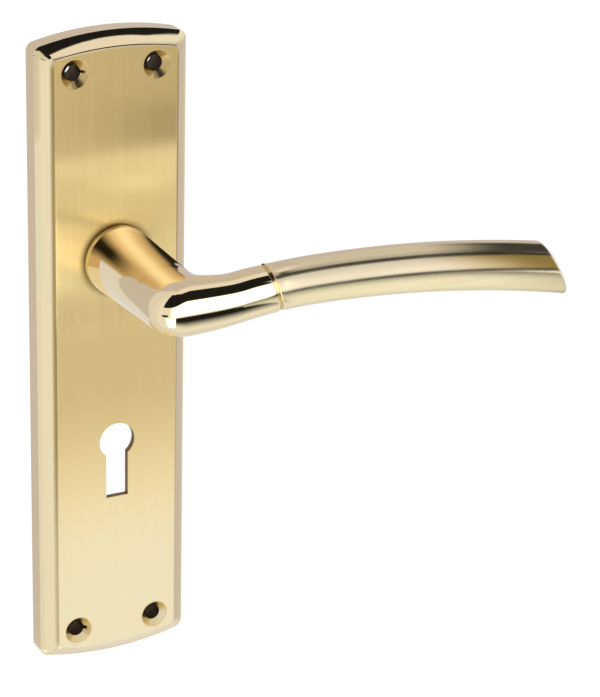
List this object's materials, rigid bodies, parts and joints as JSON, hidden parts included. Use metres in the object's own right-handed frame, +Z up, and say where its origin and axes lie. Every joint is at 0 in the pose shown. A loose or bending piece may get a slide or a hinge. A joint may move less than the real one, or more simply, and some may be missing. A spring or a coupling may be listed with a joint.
{
  "type": "lever handle lockset",
  "caption": "Sprung lever handle on a long bevelled backplate with a keyhole, satin and polished brass, arched grip and square spindle.",
  "frame": {"origin": "where the spindle's axis crosses the door's face, behind the backplate", "axes": "+X towards the grip's tip, +Y into the door along the spindle, +Z up; the front faces -Y"},
  "size_m": [0.1472, 0.1012, 0.194],
  "materials": {
    "satin_brass": "satin, brushed",
    "polished_brass": "polished",
    "plated_steel": "zinc plated",
    "spring_steel": "oiled spring steel",
    "black_steel": "black oxide",
    "nylon": "moulded nylon"
  },
  "bodies": {
    "plate": {"backplate": "satin_brass", "neck_bush": "nylon", "thrust_washer": "nylon", "return_spring": "spring_steel", "spring_anchor_pin": "plated_steel", "stop_buffers": "nylon", "spring_cover": "plated_steel", "cover_screws": "plated_steel"},
    "lever": {"lever_neck": "polished_brass", "joint_ring": "polished_brass", "lever_grip": "satin_brass", "grip_stud": "plated_steel", "joint_dowels": "plated_steel", "drive_cam": "plated_steel", "wave_washer": "spring_steel", "circlip": "spring_steel", "spindle": "plated_steel", "spindle_grub_screw": "black_steel"}
  },
  "joints": [
    {"name": "lever_turn", "type": "hinge", "parent": "plate", "child": "lever", "pos_m": [0, 0, 0], "axis": [0, 1, 0], "range_deg": [0, 45], "stiffness_Nm_per_rad": 0.64, "springref_deg": -53.86, "deforming": ["return_spring"]}
  ]
}
